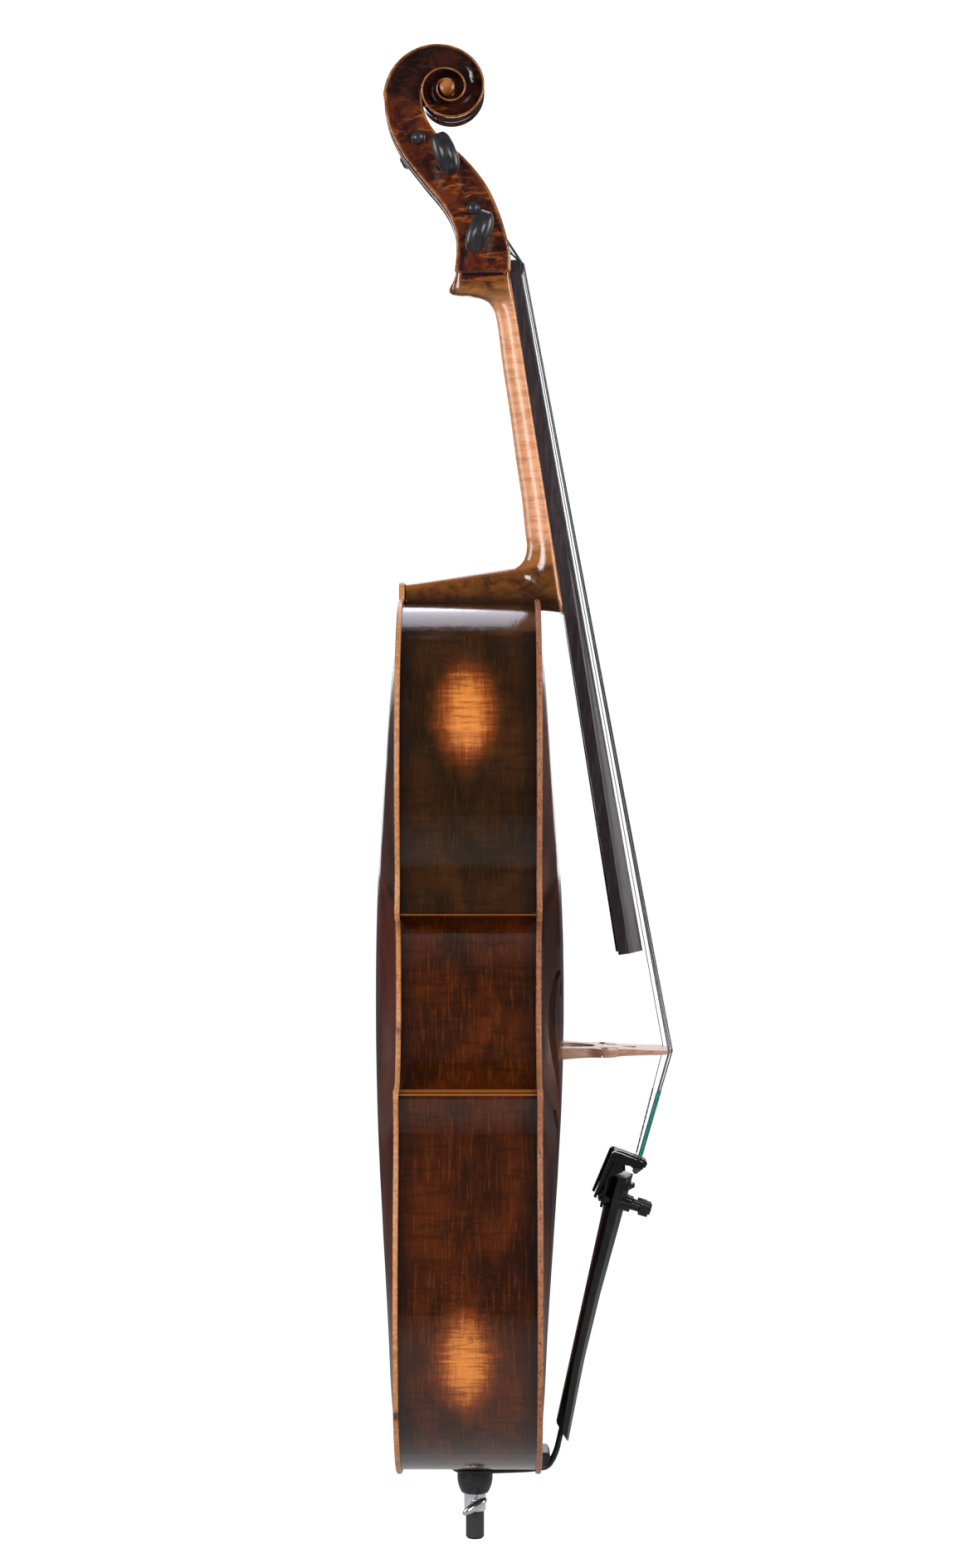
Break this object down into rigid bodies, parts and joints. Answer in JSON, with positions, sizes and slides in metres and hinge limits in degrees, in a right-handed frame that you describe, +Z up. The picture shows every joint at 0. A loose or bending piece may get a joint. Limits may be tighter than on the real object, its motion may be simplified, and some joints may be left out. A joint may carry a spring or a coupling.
{
  "type": "cello",
  "caption": "Full-size cello: arched maple and spruce body, set neck with scroll, four strings over a cut-out bridge, turning pegs, fine tuners and a sliding endpin.",
  "frame": {"origin": "centre of the flat foot of the endpin's rubber tip, with the rod pushed in", "axes": "+Z up along the instrument to the scroll; the front with the strings faces -Y; the bass side is -X and the treble side +X"},
  "size_m": [0.436, 0.2571, 1.2904],
  "materials": {
    "varnished_maple": "glossy translucent dark red-brown varnish, worn to orange at edges",
    "varnished_spruce": "satin dark red-brown varnish over fine straight grain",
    "neck_maple": "oiled pale flamed maple, varnished toward the head and heel",
    "bridge_maple": "bare satin pink-tan maple",
    "bare_spruce": "unfinished",
    "bare_maple": "unfinished",
    "purfling": "thin dark inlay",
    "ebony": "satin",
    "black_fitting": "satin black",
    "tuner_black": "satin black",
    "chrome": "polished",
    "string_steel": "wound, satin",
    "silk_teal": "wound silk",
    "silk_dark": "wound silk with light flecks",
    "tailgut_black": "matte cord",
    "rod_steel": "ground",
    "rubber": "matte dark grey"
  },
  "bodies": {
    "body": {"back_plate": "varnished_maple", "bass_bar": "bare_spruce", "bottom_block": "bare_spruce", "bridge": "bridge_maple", "corner_blocks": "bare_spruce", "endpin_sleeve": "chrome", "endpin_socket": "black_fitting", "fingerboard": "ebony", "linings_back": "bare_spruce", "linings_top": "bare_spruce", "neck_and_scroll": "neck_maple", "nut": "ebony", "purfling_back": "purfling", "purfling_top": "purfling", "rib_c_bass": "varnished_maple", "rib_c_treble": "varnished_maple", "rib_lower_bass": "varnished_maple", "rib_lower_treble": "varnished_maple", "rib_upper_bass": "varnished_maple", "rib_upper_treble": "varnished_maple", "saddle": "ebony", "silk_a": "silk_dark", "silks_cgd": "silk_teal", "sound_post": "bare_spruce", "string_a": "string_steel", "string_c": "string_steel", "string_d": "string_steel", "string_g": "string_steel", "tailgut": "tailgut_black", "tailpiece": "black_fitting", "tailpiece_fret": "black_fitting", "top_block": "bare_spruce", "top_plate": "varnished_spruce", "tuner_collars": "chrome", "tuner_frames": "tuner_black"},
    "peg_c": {"peg_c": "black_fitting", "string_coil_c": "string_steel"},
    "peg_g": {"peg_g": "black_fitting", "string_coil_g": "string_steel"},
    "peg_d": {"peg_d": "black_fitting", "string_coil_d": "string_steel"},
    "peg_a": {"peg_a": "black_fitting", "string_coil_a": "string_steel"},
    "tuner_screw_c": {"tuner_screw_c": "tuner_black"},
    "tuner_lever_c": {"tuner_lever_c": "tuner_black", "ball_end_c": "string_steel"},
    "tuner_screw_g": {"tuner_screw_g": "tuner_black"},
    "tuner_lever_g": {"tuner_lever_g": "tuner_black", "ball_end_g": "string_steel"},
    "tuner_screw_d": {"tuner_screw_d": "tuner_black"},
    "tuner_lever_d": {"tuner_lever_d": "tuner_black", "ball_end_d": "string_steel"},
    "tuner_screw_a": {"tuner_screw_a": "tuner_black"},
    "tuner_lever_a": {"tuner_lever_a": "tuner_black", "ball_end_a": "string_steel"},
    "endpin": {"endpin_rod": "rod_steel", "endpin_tip": "rubber"},
    "thumbscrew": {"thumbscrew": "chrome"}
  },
  "joints": [
    {"name": "peg_c_turn", "type": "hinge", "parent": "body", "child": "peg_c", "pos_m": [0, -0.004, 1.1234], "axis": [-1, 0, 0], "range_deg": [-1035, 45]},
    {"name": "peg_g_turn", "type": "hinge", "parent": "body", "child": "peg_g", "pos_m": [0, 0.025, 1.1896], "axis": [-1, 0, 0], "range_deg": [-1035, 45]},
    {"name": "peg_d_turn", "type": "hinge", "parent": "body", "child": "peg_d", "pos_m": [0, 0.0488, 1.2112], "axis": [-1, 0, 0], "range_deg": [-1035, 45]},
    {"name": "peg_a_turn", "type": "hinge", "parent": "body", "child": "peg_a", "pos_m": [0, 0.0013, 1.1502], "axis": [-1, 0, 0], "range_deg": [-1035, 45]},
    {"name": "tuner_c_screw", "type": "hinge", "parent": "body", "child": "tuner_screw_c", "pos_m": [-0.021, -0.1423, 0.2876], "axis": [0, 0.9578, 0.2874], "range_deg": [0, 1800]},
    {"name": "tuner_c_lever", "type": "hinge", "parent": "body", "child": "tuner_lever_c", "pos_m": [-0.021, -0.124, 0.323], "axis": [1, 0, 0], "range_deg": [0, 6]},
    {"name": "tuner_g_screw", "type": "hinge", "parent": "body", "child": "tuner_screw_g", "pos_m": [-0.007, -0.1453, 0.2876], "axis": [0, 0.9578, 0.2874], "range_deg": [0, 1800]},
    {"name": "tuner_g_lever", "type": "hinge", "parent": "body", "child": "tuner_lever_g", "pos_m": [-0.007, -0.127, 0.323], "axis": [1, 0, 0], "range_deg": [0, 6]},
    {"name": "tuner_d_screw", "type": "hinge", "parent": "body", "child": "tuner_screw_d", "pos_m": [0.007, -0.1453, 0.2876], "axis": [0, 0.9578, 0.2874], "range_deg": [0, 1800]},
    {"name": "tuner_d_lever", "type": "hinge", "parent": "body", "child": "tuner_lever_d", "pos_m": [0.007, -0.127, 0.323], "axis": [1, 0, 0], "range_deg": [0, 6]},
    {"name": "tuner_a_screw", "type": "hinge", "parent": "body", "child": "tuner_screw_a", "pos_m": [0.021, -0.1423, 0.2876], "axis": [0, 0.9578, 0.2874], "range_deg": [0, 1800]},
    {"name": "tuner_a_lever", "type": "hinge", "parent": "body", "child": "tuner_lever_a", "pos_m": [0.021, -0.124, 0.323], "axis": [1, 0, 0], "range_deg": [0, 6]},
    {"name": "endpin_slide", "type": "slide", "parent": "body", "child": "endpin", "axis": [0, 0, -1], "range_m": [0, 0.4]},
    {"name": "thumbscrew_turn", "type": "hinge", "parent": "body", "child": "thumbscrew", "pos_m": [0, 0, 0.031], "axis": [1, 0, 0], "range_deg": [-540, 0]}
  ],
  "couplings": [
    {"joint": "tuner_c_lever", "follows": "tuner_c_screw", "ratio": 0.0033333},
    {"joint": "tuner_g_lever", "follows": "tuner_g_screw", "ratio": 0.0033333},
    {"joint": "tuner_d_lever", "follows": "tuner_d_screw", "ratio": 0.0033333},
    {"joint": "tuner_a_lever", "follows": "tuner_a_screw", "ratio": 0.0033333}
  ]
}
